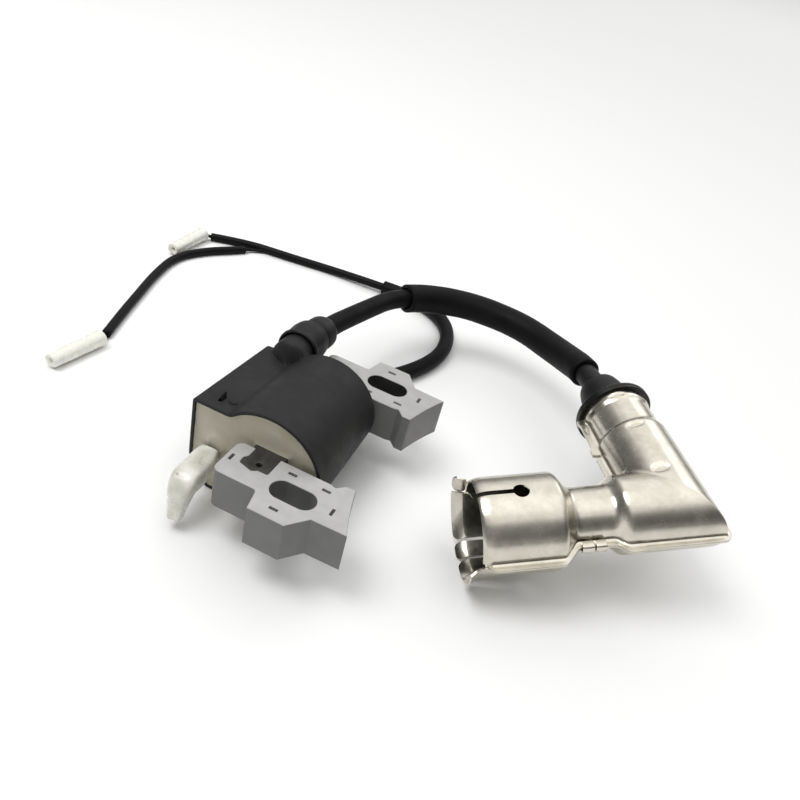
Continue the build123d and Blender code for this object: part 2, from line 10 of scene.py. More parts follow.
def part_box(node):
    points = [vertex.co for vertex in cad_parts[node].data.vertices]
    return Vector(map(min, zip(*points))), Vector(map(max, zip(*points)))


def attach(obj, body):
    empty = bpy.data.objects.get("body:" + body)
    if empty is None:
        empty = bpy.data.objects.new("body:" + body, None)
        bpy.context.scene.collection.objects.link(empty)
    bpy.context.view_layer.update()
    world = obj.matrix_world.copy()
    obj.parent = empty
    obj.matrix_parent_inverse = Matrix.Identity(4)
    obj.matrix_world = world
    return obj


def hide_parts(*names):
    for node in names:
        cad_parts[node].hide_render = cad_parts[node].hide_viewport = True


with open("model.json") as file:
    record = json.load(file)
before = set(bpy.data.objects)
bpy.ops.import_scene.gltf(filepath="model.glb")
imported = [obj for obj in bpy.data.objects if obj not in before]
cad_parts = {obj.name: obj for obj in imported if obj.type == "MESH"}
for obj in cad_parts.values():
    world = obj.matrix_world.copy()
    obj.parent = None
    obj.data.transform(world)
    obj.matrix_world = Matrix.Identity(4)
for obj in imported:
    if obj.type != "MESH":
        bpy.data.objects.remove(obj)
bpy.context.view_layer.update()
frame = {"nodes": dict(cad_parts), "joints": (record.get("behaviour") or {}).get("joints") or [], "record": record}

nodes = frame["nodes"]
record = frame["record"]


# ---------------------------------------- shaders
materials = {}


def ramped(tree, source, stops):
    """A colour read off a value; stops are (position, (red, green, blue))."""
    ramp = tree.nodes.new("ShaderNodeValToRGB")
    elements = ramp.color_ramp.elements
    while len(elements) < len(stops):
        elements.new(0.5)
    for element, (position, rgb) in zip(elements, stops):
        element.position = position
        element.color = (*rgb, 1.0)
    tree.links.new(source, ramp.inputs["Fac"])
    return ramp.outputs["Color"]


def remapped(tree, source, start, stop, low, high):
    """A value that runs from low to high while its source runs from start to stop."""
    between = tree.nodes.new("ShaderNodeMapRange")
    for socket, value in (("From Min", start), ("From Max", stop), ("To Min", low), ("To Max", high)):
        between.inputs[socket].default_value = value
    tree.links.new(source, between.inputs["Value"])
    return between.outputs["Result"]


class Shader:
    """One material: a principled shader and the textures that feed it, in the object's metres."""

    def __init__(self, name, **sockets):
        material = bpy.data.materials.new(name)
        material.use_nodes = True
        materials[name] = material
        self.tree = material.node_tree
        self.nodes, self.links = self.tree.nodes, self.tree.links
        self.surface = self.nodes["Principled BSDF"]
        for key, value in sockets.items():
            self.surface.inputs[key.replace("_", " ")].default_value = value
        self.place = self.nodes.new("ShaderNodeTexCoord").outputs["Object"]
        self.normal = None

    def clouds(self, size, detail=4.0, roughness=0.55, distortion=0.0):
        """Noise whose features are about size metres across."""
        texture = self.nodes.new("ShaderNodeTexNoise")
        texture.inputs["Scale"].default_value = 1 / size
        texture.inputs["Detail"].default_value = detail
        texture.inputs["Roughness"].default_value = roughness
        texture.inputs["Distortion"].default_value = distortion
        self.links.new(self.place, texture.inputs["Vector"])
        return texture.outputs["Fac"]

    def bands(self, period, axis="Z"):
        """Bands one period apart in metres, across the axis."""
        texture = self.nodes.new("ShaderNodeTexWave")
        texture.bands_direction = axis
        texture.inputs["Scale"].default_value = 2 * pi / (20 * period)
        self.links.new(self.place, texture.inputs["Vector"])
        return texture.outputs["Fac"]

    def colour(self, source, *stops):
        """Base colour from a texture: stops are (position, (red, green, blue))."""
        self.links.new(ramped(self.tree, source, stops), self.surface.inputs["Base Color"])

    def gloss(self, source, low, high):
        """Roughness between two values, from a texture."""
        self.links.new(remapped(self.tree, source, 0.3, 0.7, low, high), self.surface.inputs["Roughness"])

    def bump(self, source, depth):
        """Relief of that depth in metres, on top of any relief already there."""
        bump = self.nodes.new("ShaderNodeBump")
        bump.inputs["Strength"].default_value = 1.0
        bump.inputs["Distance"].default_value = depth
        self.links.new(source, bump.inputs["Height"])
        if self.normal:
            self.links.new(self.normal, bump.inputs["Normal"])
        self.normal = bump.outputs["Normal"]
        self.links.new(self.normal, self.surface.inputs["Normal"])


def grey(value, warm=0.0):
    return (value * (1 + warm), value, value * (1 - warm))


def core_paint(name, level):
    s = Shader(name, Specular_IOR_Level=0.45)
    s.colour(s.clouds(0.004, detail=6), (0.3, grey(level * 0.92, 0.01)), (0.7, grey(level * 1.06, 0.01)))
    s.gloss(s.clouds(0.002), 0.38, 0.55)
    s.bump(s.bands(0.0005), 0.000004)
    s.bump(s.clouds(0.0005), 0.000012)


def bare_lamination():
    s = Shader("bare_lamination", Metallic=0.35)
    s.colour(s.clouds(0.003, detail=7, distortion=0.6), (0.3, (0.030, 0.029, 0.027)),
             (0.7, (0.062, 0.060, 0.056)))
    s.gloss(s.clouds(0.0015), 0.38, 0.6)
    s.bump(s.clouds(0.0004), 0.00002)


def case_plastic():
    s = Shader("case_plastic", Specular_IOR_Level=0.2)
    s.colour(s.clouds(0.02, detail=5), (0.3, grey(0.0145)), (0.7, grey(0.0215)))
    s.gloss(s.clouds(0.006, distortion=0.5), 0.45, 0.62)
    s.bump(s.clouds(0.0004, detail=2), 0.00003)


def resin():
    s = Shader("resin", Subsurface_Weight=0.12, Specular_IOR_Level=0.35)
    s.surface.inputs["Subsurface Radius"].default_value = (0.0016, 0.0012, 0.0007)
    s.colour(s.clouds(0.014, detail=5, distortion=0.8), (0.25, (0.42, 0.385, 0.295)),
             (0.55, (0.51, 0.475, 0.38)), (0.8, (0.60, 0.57, 0.48)))
    s.gloss(s.clouds(0.004), 0.3, 0.5)
    s.bump(s.clouds(0.003, detail=3), 0.00012)


def rubber(name, level, low, high, specular, grain=0.0004):
    s = Shader(name, Specular_IOR_Level=specular)
    s.colour(s.clouds(0.008, detail=5), (0.3, grey(level * 0.85)), (0.7, grey(level * 1.2)))
    s.gloss(s.clouds(0.004, distortion=0.4), low, high)
    s.bump(s.clouds(grain, detail=3), 0.00002)


def vinyl(name, base, dull, transmission, relief, *spots):
    """Soft clear or milky plastic; spots are darker stops below the dull one."""
    s = Shader(name, Transmission_Weight=transmission, Subsurface_Weight=0.2, IOR=1.45,
               Specular_IOR_Level=0.5, Coat_Weight=0.6, Coat_Roughness=0.1)
    s.surface.inputs["Subsurface Radius"].default_value = (0.001, 0.0009, 0.0006)
    s.colour(s.clouds(0.005, detail=1), *spots, (0.45, dull), (0.60, base))
    s.gloss(s.clouds(0.002), 0.16, 0.36)
    s.bump(s.clouds(0.003, detail=2, distortion=0.4), relief)


def shield_nickel():
    s = Shader("shield_nickel", Metallic=1.0)
    s.colour(s.clouds(0.006, detail=7, roughness=0.65), (0.3, (0.55, 0.515, 0.44)),
             (0.65, (0.69, 0.655, 0.575)))
    s.gloss(s.clouds(0.0035, detail=6, roughness=0.7), 0.17, 0.3)
    s.bump(s.clouds(0.0016, detail=5), 0.00001)


def metal(name, dark, light, low, high):
    s = Shader(name, Metallic=1.0)
    s.colour(s.clouds(0.002, detail=5), (0.3, dark), (0.7, light))
    s.gloss(s.clouds(0.0012), low, high)
    s.bump(s.clouds(0.0005), 0.00001)


def moulded(name, dark, light):
    s = Shader(name)
    s.colour(s.clouds(0.003, detail=5), (0.3, dark), (0.7, light))
    s.gloss(s.clouds(0.002), 0.4, 0.55)
    s.bump(s.clouds(0.0005), 0.00001)


def winding_copper():
    s = Shader("copper", Metallic=0.9)
    s.colour(s.clouds(0.002), (0.3, (0.42, 0.16, 0.07)), (0.7, (0.66, 0.30, 0.14)))
    s.gloss(s.clouds(0.001), 0.25, 0.4)
    s.bump(s.bands(0.0003, "Y"), 0.00006)


core_paint("core_paint", 0.44)
core_paint("core_paint_rear", 0.40)
# painted shade: a darker copy of the paint for the legs' sides, which face away from the light
core_paint("core_side_painted_shade", 0.16)
bare_lamination()
case_plastic()
resin()
moulded("bobbin_plastic", (0.62, 0.60, 0.52), (0.75, 0.73, 0.66))
winding_copper()
moulded("board", (0.05, 0.14, 0.06), (0.08, 0.20, 0.09))
moulded("component", grey(0.02), grey(0.035))
metal("brass", (0.55, 0.40, 0.16), (0.78, 0.62, 0.32), 0.2, 0.35)
rubber("boot_rubber", 0.0075, 0.36, 0.52, specular=0.24)
rubber("lead_rubber", 0.006, 0.42, 0.58, specular=0.07)
rubber("loom", 0.0075, 0.40, 0.55, specular=0.08, grain=0.0007)
rubber("wire_sheath", 0.007, 0.36, 0.5, specular=0.1)
vinyl("milky_sleeve", (0.95, 0.94, 0.86), (0.92, 0.91, 0.82), 0.1, 0.00002)
vinyl("clear_sleeve", (0.84, 0.83, 0.77), (0.72, 0.71, 0.63), 0.08, 0.00001,
      (0.24, (0.20, 0.195, 0.15)), (0.28, (0.62, 0.61, 0.53)))
metal("tinned", (0.52, 0.50, 0.46), (0.72, 0.70, 0.66), 0.25, 0.4)
rubber("ring_rubber", 0.005, 0.2, 0.34, specular=0.3)
shield_nickel()
# painted shade: a darker copy of the nickel for the shield's inner faces
metal("shield_inside_painted_shade", (0.13, 0.125, 0.105), (0.24, 0.23, 0.195), 0.3, 0.45)
moulded("insulator", (0.022, 0.016, 0.012), (0.035, 0.026, 0.02))
metal("spring_steel", grey(0.42), grey(0.6), 0.2, 0.35)

slot_of = {part["node"]: part["material_slot"] for part in record["subparts"]}
for node, obj in nodes.items():
    obj.data.materials.clear()
    obj.data.materials.append(materials[slot_of[node]])


# ---------------------------------------- mesh helpers
SQUARE = ((-1, -1), (1, -1), (1, 1), (-1, 1))


def linked(name, data):
    obj = bpy.data.objects.new(name, data)
    bpy.context.scene.collection.objects.link(obj)
    return obj


def add_piece(name, data, body, slot, replaces=()):
    """Links a mesh or curve as a piece of the object."""
    obj = linked(name, data)
    data.materials.append(materials[slot])
    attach(obj, body)
    if replaces:
        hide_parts(*replaces)
    return obj


def shade(mesh, angle):
    mesh.shade_smooth()
    mesh.set_sharp_from_angle(angle=radians(angle))


def grid(name, rows, around=True, capped=False):
    """A mesh through rows of points. around joins each row's ends; capped closes the first and last."""
    count = len(rows[0])
    steps = count if around else count - 1
    faces = []
    for i in range(len(rows) - 1):
        for j in range(steps):
            k = (j + 1) % count
            faces.append((i * count + j, i * count + k, (i + 1) * count + k, (i + 1) * count + j))
    if capped:
        faces.append(tuple(range(count))[::-1])
        faces.append(tuple((len(rows) - 1) * count + j for j in range(count)))
    mesh = bpy.data.meshes.new(name)
    mesh.from_pydata([tuple(p) for row in rows for p in row], [], faces)
    return mesh


def tidy_mesh(mesh):
    """Joins doubled points and turns the faces outwards."""
    gap = 0.000004
    work = bmesh.new()
    work.from_mesh(mesh)
    bmesh.ops.remove_doubles(work, verts=work.verts, dist=gap)
    bmesh.ops.dissolve_degenerate(work, edges=work.edges, dist=gap)
    bmesh.ops.recalc_face_normals(work, faces=work.faces)
    work.to_mesh(mesh)
    work.free()


def solid_mesh(name, rows):
    """The closed solid through rows of points."""
    mesh = grid(name, rows, capped=True)
    tidy_mesh(mesh)
    return mesh


def add_grid(name, rows, angle, body, slot, replaces=()):
    """A piece made from closed rows of points, its edges sharp above that angle in degrees."""
    mesh = grid(name, rows)
    tidy_mesh(mesh)
    shade(mesh, angle)
    return add_piece(name, mesh, body, slot, replaces)


def evaluated(obj):
    """The mesh an object shows once its modifiers or its curve are worked out."""
    return bpy.data.meshes.new_from_object(obj.evaluated_get(bpy.context.evaluated_depsgraph_get()))


def freeze(obj, angle=35):
    """Turns a piece's modifiers into its mesh, and shades it again."""
    made = evaluated(obj)
    obj.modifiers.clear()
    obj.data = made
    shade(made, angle)


def bevelled(obj, width, segments=2, angle=30):
    modifier = obj.modifiers.new("edges", "BEVEL")
    modifier.width = width
    modifier.segments = segments
    modifier.limit_method = "ANGLE"
    modifier.angle_limit = radians(angle)
    modifier.harden_normals = False


def solidified(obj, thickness, offset):
    modifier = obj.modifiers.new("thickness", "SOLIDIFY")
    modifier.thickness = thickness
    modifier.offset = offset
    return modifier


def cut_out(obj, mesh, angle):
    """Takes a mesh's solid away from a piece."""
    cutter = linked("cutter", mesh)
    modifier = obj.modifiers.new("cut", "BOOLEAN")
    modifier.object = cutter
    modifier.solver = "EXACT"
    modifier.operation = "DIFFERENCE"
    freeze(obj, angle)
    bpy.data.objects.remove(cutter)


def turn(count):
    """Even angles once round."""
    return [2 * pi * i / count for i in range(count)]


def smoothstep(low, high, value):
    t = min(max((value - low) / (high - low), 0.0), 1.0)
    return t * t * (3 - 2 * t)


def profile(points):
    """A piecewise straight function through (station, value) points."""
    stations, values = zip(*points)
    return lambda at: float(np.interp(at, stations, values))


def rounded(points, reach):
    """The same outline with each inner corner rounded over that reach."""
    made = [points[0]]
    for before, corner, after in zip(points, points[1:], points[2:]):
        back, ahead = Vector(before) - Vector(corner), Vector(after) - Vector(corner)
        size = min(reach, back.length / 2, ahead.length / 2)
        start = Vector(corner) + back.normalized() * size
        end = Vector(corner) + ahead.normalized() * size
        for i in range(5):
            t = i / 4
            made.append(tuple(start * (1 - t) ** 2 + Vector(corner) * 2 * t * (1 - t) + end * t ** 2))
    made.append(points[-1])
    return made


# ---------------------------------------- cords
class Line:
    """A path with a side and an upper direction carried along it, read by distance in metres."""

    def __init__(self, points):
        self.points = [Vector(p) for p in points]
        steps = [b - a for a, b in zip(self.points, self.points[1:])]
        self.reach = np.concatenate([[0.0], np.cumsum([s.length for s in steps])])
        self.length = float(self.reach[-1])
        self.tangents = [steps[0].normalized()]
        for a, b in zip(steps, steps[1:]):
            self.tangents.append((a.normalized() + b.normalized()).normalized())
        self.tangents.append(steps[-1].normalized())
        up = Vector((0, 0, 1))
        self.sides = [self.tangents[0].cross(up).normalized()]
        for tangent in self.tangents[1:]:
            side = self.sides[-1]
            self.sides.append((side - tangent * side.dot(tangent)).normalized())

    def at(self, distance):
        """Place, side and up at a distance; past an end the path runs on straight."""
        i = int(np.clip(np.searchsorted(self.reach, distance) - 1, 0, len(self.points) - 2))
        t = (distance - self.reach[i]) / (self.reach[i + 1] - self.reach[i])
        place = self.points[i].lerp(self.points[i + 1], t)
        t = min(max(t, 0.0), 1.0)
        tangent = self.tangents[i].lerp(self.tangents[i + 1], t).normalized()
        side = self.sides[i].lerp(self.sides[i + 1], t)
        side = (side - tangent * side.dot(tangent)).normalized()
        return place, side, side.cross(tangent)


def spline_curve(name, route):
    data = bpy.data.curves.new(name, "CURVE")
    data.dimensions = "3D"
    spline = data.splines.new("NURBS")
    spline.points.add(len(route) - 1)
    for point, place in zip(spline.points, route):
        point.co = (*place, 1.0)
    spline.order_u = 3
    spline.use_endpoint_u = True
    spline.resolution_u = 24
    return data


def centreline(route):
    """The smooth line of a route, as Blender's own spline gives it."""
    bare = linked("bare", spline_curve("bare", route))
    bpy.context.view_layer.update()
    points = [v.co.copy() for v in evaluated(bare).vertices]
    bpy.data.objects.remove(bare)
    return Line(points)


def cord(name, route, radius, slot, *replaces):
    data = spline_curve(name, route)
    data.bevel_depth = radius
    data.bevel_resolution = 8
    data.use_fill_caps = True
    return add_piece(name, data, "coil", slot, replaces)


def turned(line, outline, around, wobble=None):
    """Rings of points round a line. outline is (distance, radius); wobble scales one point's radius."""
    rows = []
    for distance, radius in outline:
        place, side, up = line.at(distance)
        row = []
        for a in turn(around):
            r = radius * (wobble(distance, a) if wobble else 1.0)
            row.append(place + side * (r * cos(a)) + up * (r * sin(a)))
        rows.append(row)
    return rows


def sleeve_outline(start, end, outer, bore):
    """(distance, radius) pairs of an open sleeve: in at its start, along the outside, in at its end."""
    step, lip, depth = 0.002, 0.0003, 0.006
    made = [(start + depth, bore), (start, bore), (start, outer - lip), (start + lip, outer)]
    count = max(2, int((end - start) / step))
    made += [(start + lip + (end - start - 2 * lip) * i / count, outer) for i in range(1, count + 1)]
    return made + [(end, outer - lip), (end, bore), (end - depth, bore)]


def sleeve(name, line, start, end, outer, bore, slot, node, wobble):
    rows = turned(line, sleeve_outline(start, end, outer, bore), 40, wobble)
    return add_grid(name, rows, 50, "coil", slot, (node,))


# ---------------------------------------- camera, floor and light
def stage_camera():
    """Above the plug cap's mouth, looking down on the coil from its front right."""
    place = Vector((0.06713, -0.16939, 0.17133))
    ahead = Vector((-0.2015, 0.7833, -0.5880)).normalized()
    right = Vector((0.8947, 0.3915, 0.2149))
    right = (right - ahead * right.dot(ahead)).normalized()
    up = right.cross(ahead)
    data = bpy.data.cameras.new("camera")
    data.lens, data.sensor_width = 35.515, 36.0
    data.clip_start, data.clip_end = 0.01, 20
    camera = linked("camera", data)
    axes = Matrix((right, up, -ahead)).transposed()
    camera.matrix_world = Matrix.Translation(place) @ axes.to_4x4()
    bpy.context.scene.camera = camera


def stage_floor():
    size = 6.0
    mesh = bpy.data.meshes.new("floor")
    mesh.from_pydata([(x * size, y * size, 0) for x, y in SQUARE], [], [(0, 1, 2, 3)])
    s = Shader("floor_paper", Roughness=0.9, Specular_IOR_Level=0.1)
    s.colour(s.clouds(0.5), (0.0, grey(0.92)), (1.0, grey(0.94)))
    mesh.materials.append(materials["floor_paper"])
    floor = linked("floor", mesh)


def stage_light():
    """A white dome: bright overhead and behind, dim at both sides and above the horizon in front."""
    world = bpy.data.worlds.new("studio")
    bpy.context.scene.world = world
    world.use_nodes = True
    tree = world.node_tree
    where = tree.nodes.new("ShaderNodeTexCoord").outputs["Generated"]
    split = tree.nodes.new("ShaderNodeSeparateXYZ")
    tree.links.new(where, split.inputs["Vector"])

    def by_height(*stops):
        """Brightness by the height looked at; stops are (height, level)."""
        return ramped(tree, split.outputs["Z"], [(at, (level, level, level * 0.99)) for at, level in stops])

    front = by_height((0.0, 0.34), (0.16, 0.30), (0.30, 0.16), (0.60, 0.17), (0.74, 0.36), (0.90, 0.85),
                      (1.0, 1.0))
    back = by_height((0.0, 0.16), (0.12, 0.20), (0.32, 0.55), (0.60, 0.80), (0.90, 0.85), (1.0, 1.0))
    whole = tree.nodes.new("ShaderNodeMix")
    whole.data_type = "RGBA"
    tree.links.new(remapped(tree, split.outputs["Y"], -0.1, 0.5, 0.0, 1.0), whole.inputs["Factor"])
    tree.links.new(front, whole.inputs[6])
    tree.links.new(back, whole.inputs[7])
    across = tree.nodes.new("ShaderNodeMath")
    across.operation = "ABSOLUTE"
    tree.links.new(split.outputs["X"], across.inputs[0])
    shaded = tree.nodes.new("ShaderNodeVectorMath")
    shaded.operation = "SCALE"
    tree.links.new(whole.outputs[2], shaded.inputs[0])
    tree.links.new(remapped(tree, across.outputs[0], 0.45, 0.85, 1.0, 0.45), shaded.inputs["Scale"])
    background = tree.nodes["Background"]
    tree.links.new(shaded.outputs[0], background.inputs["Color"])
    background.inputs["Strength"].default_value = 1.5
    middle = Vector((0.02, 0.03, 0.02))
    for name, place, size, watts in (("key", (-0.35, -0.15, 0.75), 0.5, 3.0),
                                     ("back", (0.5, 1.6, 1.1), 1.0, 2.0)):
        data = bpy.data.lights.new(name, "AREA")
        data.shape = "DISK"
        data.size = size
        data.energy = watts
        light = linked(name, data)
        light.location = place
        light.rotation_euler = (middle - Vector(place)).to_track_quat("-Z", "Y").to_euler()
    bpy.context.scene.view_settings.view_transform = "Standard"


# ---------------------------------------- the cap's place
swivel = frame["joints"][0]
terminal_mount = next(m for m in record["mounts"] if m["name"] == "plug_terminal")
elbow = Vector(swivel["pos_m"])
arm_dir = Vector(swivel["axis"]).normalized()
barrel_dir = -Vector(terminal_mount["axis"]).normalized()
cap_up = barrel_dir.cross(arm_dir).normalized()
cap_left = cap_up.cross(barrel_dir)
arm_out = arm_dir.cross(cap_up)
elbow_at = 0.0585                   # from the mouth to the elbow
mouth = elbow - barrel_dir * elbow_at
bend = barrel_dir.angle(arm_dir)
mitre_slope = tan(bend / 2)


def on_arm(distance):
    return elbow + arm_dir * distance


# ---------------------------------------- cords
tower_x, tower_z = -0.0187, 0.0294
tower_r = 0.0058
tower_nose, tower_full, tower_end = 0.0125, 0.0164, 0.024    # where it rises, reaches its radius and ends
kill_x, kill_z = -0.007, 0.0059
lead_end = 0.040                    # from the elbow, inside the cap
ht_route = [Vector(p) for p in (
    (tower_x, 0.016, tower_z), (tower_x, 0.036, tower_z), (-0.015, 0.0623, 0.0265),
    (-0.0105, 0.0878, 0.0237), (0.0098, 0.1055, 0.0218), (0.0346, 0.1074, 0.0216),
    (0.0556, 0.0942, 0.0234))] + [on_arm(0.0636), on_arm(lead_end)]
kill_route = [Vector(p) for p in (
    (kill_x, 0.0163, kill_z), (kill_x, 0.038, kill_z), (-0.003, 0.058, 0.0036), (0.0075, 0.0775, 0.003),
    (0.0115, 0.097, 0.003), (0.005, 0.117, 0.003), (-0.012, 0.1275, 0.003), (-0.032, 0.1258, 0.003),
    (-0.054, 0.1248, 0.0018), (-0.076, 0.1205, 0.0018), (-0.095, 0.1176, 0.0018),
    (-0.1095, 0.1106, 0.0018))]
branch_route = [Vector(p) for p in (
    (-0.0825, 0.1196, 0.0014), (-0.0895, 0.1166, 0.0011), (-0.095, 0.1085, 0.0017),
    (-0.1035, 0.098, 0.0017), (-0.1095, 0.0845, 0.0017), (-0.1065, 0.067, 0.0017),
    (-0.1015, 0.050, 0.0017), (-0.097, 0.0345, 0.0017), (-0.0926, 0.021, 0.0017))]
tail_routes = {
    "a": [kill_route[-1], Vector((-0.1116, 0.1096, 0.0021)), Vector((-0.1123, 0.1066, 0.0029)),
          Vector((-0.1124, 0.103, 0.0029))],
    "b": [branch_route[-1], Vector((-0.0916, 0.018, 0.0023)), Vector((-0.0917, 0.015, 0.0029)),
          Vector((-0.0921, 0.012, 0.0029))],
}
lead_r, loom_r, loom_bore = 0.0035, 0.0054, 0.0042
arm_end = 0.0413                    # from the elbow, where the ring sits
kill_r, kill_loom_r, kill_loom_bore = 0.0017, 0.00295, 0.0018
wire_r, branch_bore = 0.0007, 0.0008

ht_line, kill_line, branch_line = (centreline(route) for route in (ht_route, kill_route, branch_route))
from_cap = ht_line.length + lead_end         # less a distance from the elbow gives the one along the lead
tower_axis = Line([(tower_x, 0.0, tower_z), (tower_x, 0.030, tower_z)])
grommet_axis = Line([(kill_x, 0.0, kill_z), (kill_x, 0.030, kill_z)])


def make_cords():
    lead = cord("lead_high_tension", ht_route, lead_r, "lead_rubber", "ht_lead", "ht_lead_core")
    kill = cord("lead_kill", kill_route, kill_r, "wire_sheath", "kill_lead")
    wire = cord("wire_branch", branch_route, wire_r, "wire_sheath", "kill_branch_wire")
    for key, route in tail_routes.items():
        cord("wire_end_" + key, route, wire_r, "wire_sheath", "wire_tail_" + key)
    return lead, kill, wire


def ripple(amount, length, seed):
    """A radius that wanders a little along a sleeve and round it."""

    def wobble(distance, angle):
        spot = Vector((distance / length, cos(angle), sin(angle))) + Vector((seed, seed, 0))
        return 1 + amount * noise.noise(spot)

    return wobble


def make_looms():
    loom = sleeve("loom_high_tension", ht_line, 0.074, from_cap - 0.0662, loom_r, loom_bore, "loom",
                  "lead_loom_sleeve", ripple(0.022, 0.012, 3))
    kill_loom = sleeve("loom_kill", kill_line, 0.0027, 0.141, kill_loom_r, kill_loom_bore, "loom",
                       "kill_lead_loom", ripple(0.03, 0.012, 7))
    sheath = sleeve("sheath_branch", branch_line, 0.0128, branch_line.length, kill_r, branch_bore,
                    "wire_sheath", "kill_branch_sheath", ripple(0.02, 0.01, 11))
    return loom, kill_loom, sheath


# ---------------------------------------- boots and ring
def make_boots():
    """The rubber boot on the case's tower, the boot on the cap, and the cap's sealing ring."""
    lip_at, body_end, step_end = 0.0212, 0.0322, 0.0398
    outline = rounded([(lip_at + 0.0015, 0.0058), (lip_at, 0.0060), (lip_at, 0.0070), (lip_at + 0.0014, 0.0071),
                       (lip_at + 0.0020, 0.0065), (body_end - 0.0045, 0.0068), (body_end - 0.0012, 0.0064),
                       (body_end, 0.0052)], 0.0009)
    start = ht_route[0].y
    step = rounded([(body_end, 0.0052), (body_end + 0.0016, 0.0057), (step_end - 0.0024, 0.0056),
                    (step_end, 0.0044), (step_end, lead_r)], 0.0008)
    rows = turned(tower_axis, outline, 56) + turned(ht_line, [(d - start, r) for d, r in step], 56)
    tower_boot = add_grid("boot_tower", rows, 40, "coil", "boot_rubber", ("tower_boot",))

    base, axis_from = arm_end + 0.0024, 0.03
    axis = Line([on_arm(axis_from), on_arm(0.07)])
    outline = rounded([(base, 0.004), (base, 0.0073), (base + 0.0030, 0.0077), (base + 0.0080, 0.0076),
                       (base + 0.0122, 0.0064), (base + 0.0138, 0.0042)], 0.0028)
    neck = [(0.0584, 0.0040), (0.0600, 0.00395), (0.0630, 0.0039), (0.0660, 0.0039), (0.0660, lead_r)]
    rows = turned(axis, [(d - axis_from, r) for d, r in outline], 56)
    rows += turned(ht_line, [(from_cap - d, r) for d, r in neck], 56)
    cap_boot = add_grid("boot_cap", rows, 40, "coil", "boot_rubber", ("cap_boot",))

    face, thick, ring_r, ring_bore = arm_end, 0.0024, 0.0125, 0.0037
    outline = rounded([(face, ring_bore), (face, ring_r), (face + 0.0009, ring_r),
                       (face + 0.0011, ring_r - 0.0002), (face + 0.0013, ring_r), (face + thick, ring_r),
                       (face + thick, ring_bore)], 0.0005)
    rows = turned(axis, [(d - axis_from, r) for d, r in outline], 72)
    ring = add_grid("ring_cap", rows, 50, "plug_cap", "ring_rubber", ("cap_ring",))
    return tower_boot, cap_boot, ring


# ---------------------------------------- stamped shield
barrel_r, neck_r, arm_r, collar_r = 0.0141, 0.009, 0.0115, 0.0106
sheet = 0.0006
barrel_stop, arm_start = 0.0455, 0.0175      # between these the two forms have one radius
claw_reach = 0.0033                          # how far the lower half's claws stand out of the mouth
# inner faces behind this station carry the painted shade; past it the claws keep the plain nickel on both faces
painted_shade_stop = -0.0004                         # the claws are bright on both faces outside this
near_mouth = 0.004                           # the rows' points are closer together up to here
dimple_side = 0.0022                         # from the crown towards the barrel's side
seam_angle, seam_lift = 0.085, 0.00018       # the fillet between a half's wall and its flange

barrel_body = [(0.0232, barrel_r), (0.0274, neck_r), (0.0390, neck_r), (0.0417, arm_r), (0.06, arm_r)]
upper_barrel = profile(rounded([(0, 0.01325), (0.0007, 0.0137), (0.0026, barrel_r), *barrel_body], 0.0010))
lower_barrel = profile(rounded([(-claw_reach, 0.0158), (-0.0021, 0.0149), (-0.0004, barrel_r), *barrel_body],
                               0.0010))
arm_profile = profile(rounded([(0.0, arm_r), (0.0272, arm_r), (0.0288, collar_r), (0.0382, collar_r),
                               (0.0390, 0.0111), (arm_end, 0.0111)], 0.0008))
outer_flange = profile([(0.0, 0.0), (0.0012, 0.0), (0.0030, 0.0018), (0.0235, 0.0018), (0.0265, 0.0022),
                        (0.0290, 0.0019), (0.0390, 0.0019), (0.0421, 0.0022), (0.060, 0.0021), (0.075, 0.0015)])
inner_flange = profile([(0.0, 0.0), (0.0012, 0.0), (0.0030, 0.0017), (0.0290, 0.0017), (0.0400, 0.0017),
                        (0.06, 0.0017)])
arm_inner_flange = profile([(0.0, 0.0021), (0.0232, 0.0021), (0.0236, 0.0006), (0.0244, 0.0006),
                            (0.0248, 0.0026), (0.0405, 0.0024), (0.0412, 0.0002), (0.05, 0.0002)])
arm_outer_flange = profile([(-0.02, 0.0015), (-0.005, 0.0017), (0.0398, 0.0017), (0.0408, 0.0002),
                            (0.05, 0.0002)])


def dimple(along, across):
    """Depth of the three oval dimples on the arm's crown; across is the arc from the crown."""
    depth = 0.0
    for centre, deep, long in ((0.0070, 0.0006, 0.0016), (0.0256, 0.0005, 0.0013), (0.0397, 0.0003, 0.0009)):
        d = sqrt(((along - centre) / long) ** 2 + ((across - dimple_side) / 0.0028) ** 2)
        depth += deep * (1 - smoothstep(0.7, 1.15, d))
    return depth


